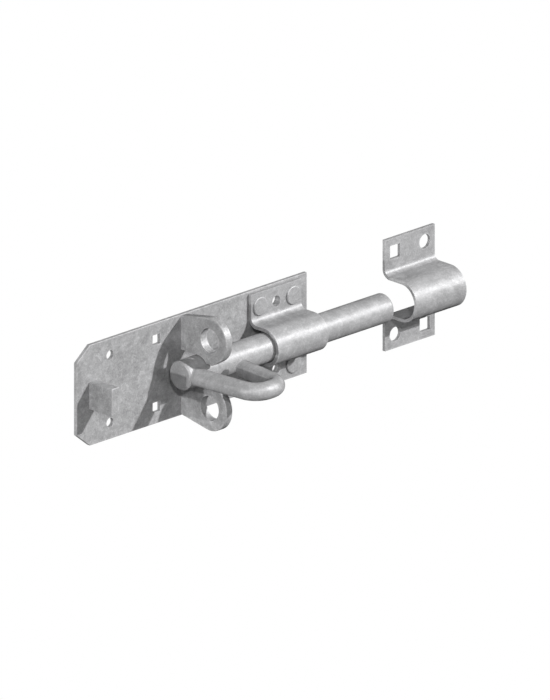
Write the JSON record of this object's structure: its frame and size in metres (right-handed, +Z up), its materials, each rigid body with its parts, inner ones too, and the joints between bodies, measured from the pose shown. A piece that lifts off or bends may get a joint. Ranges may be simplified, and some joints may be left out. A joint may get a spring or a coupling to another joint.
{
  "type": "padbolt",
  "caption": "Sliding round-bar door bolt on a back plate, with a loop handle that turns over a lug with a padlock eye, and a separate keeper.",
  "frame": {"origin": "middle of the back plate's back face, where it meets the door", "axes": "+X along the bar towards the keeper, +Y into the door, +Z up"},
  "size_m": [0.3116, 0.0785, 0.0734],
  "materials": {
    "galvanised_sheet": "hot-dip galvanised sheet, dull mottled grey",
    "galvanised_bar": "hot-dip galvanised round bar, satin",
    "galvanised_block": "hot-dip galvanised flat bar, dull mottled grey",
    "galvanised_rivet": "hot-dip galvanised rivet, dull mottled grey"
  },
  "bodies": {
    "plate": {"back_plate": "galvanised_sheet", "tail_stop": "galvanised_block", "upper_lug": "galvanised_block", "lower_lug": "galvanised_block", "guide_strap": "galvanised_sheet", "keeper": "galvanised_sheet", "rivet_upper_tail": "galvanised_rivet", "rivet_upper_keeper": "galvanised_rivet", "rivet_lower_tail": "galvanised_rivet", "rivet_lower_keeper": "galvanised_rivet"},
    "bolt": {"bolt_bar": "galvanised_bar"},
    "handle": {"handle_loop": "galvanised_bar"}
  },
  "joints": [
    {"name": "bar_slide", "type": "slide", "parent": "plate", "child": "bolt", "axis": [1, 0, 0], "range_m": [-0.058, 0.06]},
    {"name": "handle_turn", "type": "hinge", "parent": "bolt", "child": "handle", "pos_m": [0, -0.0164, 0], "axis": [1, 0, 0], "range_deg": [-90, 90]}
  ]
}
